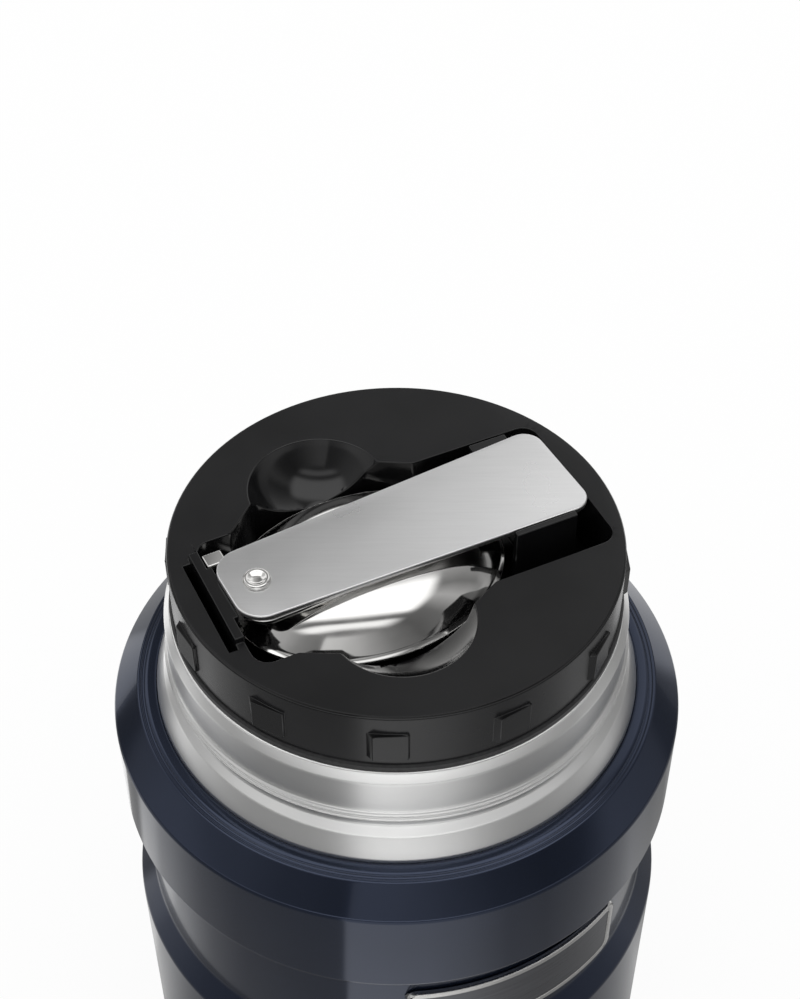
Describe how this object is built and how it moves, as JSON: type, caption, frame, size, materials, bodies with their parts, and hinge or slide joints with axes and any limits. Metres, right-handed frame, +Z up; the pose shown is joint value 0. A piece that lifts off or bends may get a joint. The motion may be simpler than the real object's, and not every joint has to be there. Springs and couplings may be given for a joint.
{
  "type": "insulated food jar",
  "caption": "Double-walled vacuum food jar with a bare steel neck and a black screw stopper that carries a folding steel spoon in a pocket in its top.",
  "frame": {"origin": "centre of the face that the jar rests on", "axes": "+Z up along the jar's axis, -Y towards the viewer of the picture, +X to the viewer's right"},
  "size_m": [0.094, 0.094, 0.1265],
  "materials": {
    "navy_paint": "satin powder coat",
    "satin_steel": "satin",
    "liner_steel": "satin",
    "polished_steel": "polished",
    "foil": "bright",
    "getter_metal": "sintered",
    "seal_glass": "fused bead",
    "black_plastic": "satin moulded",
    "plug_plastic": "moulded",
    "black_gloss": "gloss moulded",
    "foam": "closed-cell foam",
    "silicone": "silicone",
    "rubber": "rubber",
    "plate_bright": "bright border",
    "plate_dark": "dark brushed",
    "tape": "adhesive foam",
    "nylon": "nylon"
  },
  "bodies": {
    "jar": {"outer_shell": "navy_paint", "neck_sleeve": "satin_steel", "inner_vessel": "liner_steel", "radiation_foil": "foil", "getter": "getter_metal", "outer_bottom": "liner_steel", "vacuum_seal": "seal_glass", "base_cover": "satin_steel", "foot_pad": "rubber", "nameplate": "plate_bright", "nameplate_field": "plate_dark", "nameplate_tape": "tape"},
    "seal": {"gasket": "silicone"},
    "stopper": {"stopper_cap": "black_plastic", "spoon_cradle": "black_gloss", "stopper_plug": "plug_plastic", "foam_core": "foam", "joint_seal": "silicone"},
    "spoon": {"spoon_bowl": "polished_steel", "rivet": "polished_steel", "friction_washer": "nylon"},
    "handle": {"spoon_handle": "satin_steel"}
  },
  "joints": [
    {"name": "stopper_rise", "type": "slide", "parent": "jar", "child": "seal", "axis": [0, 0, 1], "range_m": [0, 0.0301]},
    {"name": "stopper_turn", "type": "hinge", "parent": "seal", "child": "stopper", "pos_m": [0, 0, 0.1], "axis": [0, 0, 1], "range_deg": [0, 450]},
    {"name": "spoon_lift", "type": "slide", "parent": "stopper", "child": "spoon", "axis": [0, 0, 1], "range_m": [0, 0.045]},
    {"name": "handle_unfold", "type": "hinge", "parent": "spoon", "child": "handle", "pos_m": [-0.02074, -0.01109, 0.1246], "axis": [0, 0, 1], "range_deg": [0, 180]}
  ],
  "couplings": [
    {"joint": "stopper_rise", "follows": "stopper_turn", "m_per_rad": 0.0038197}
  ]
}
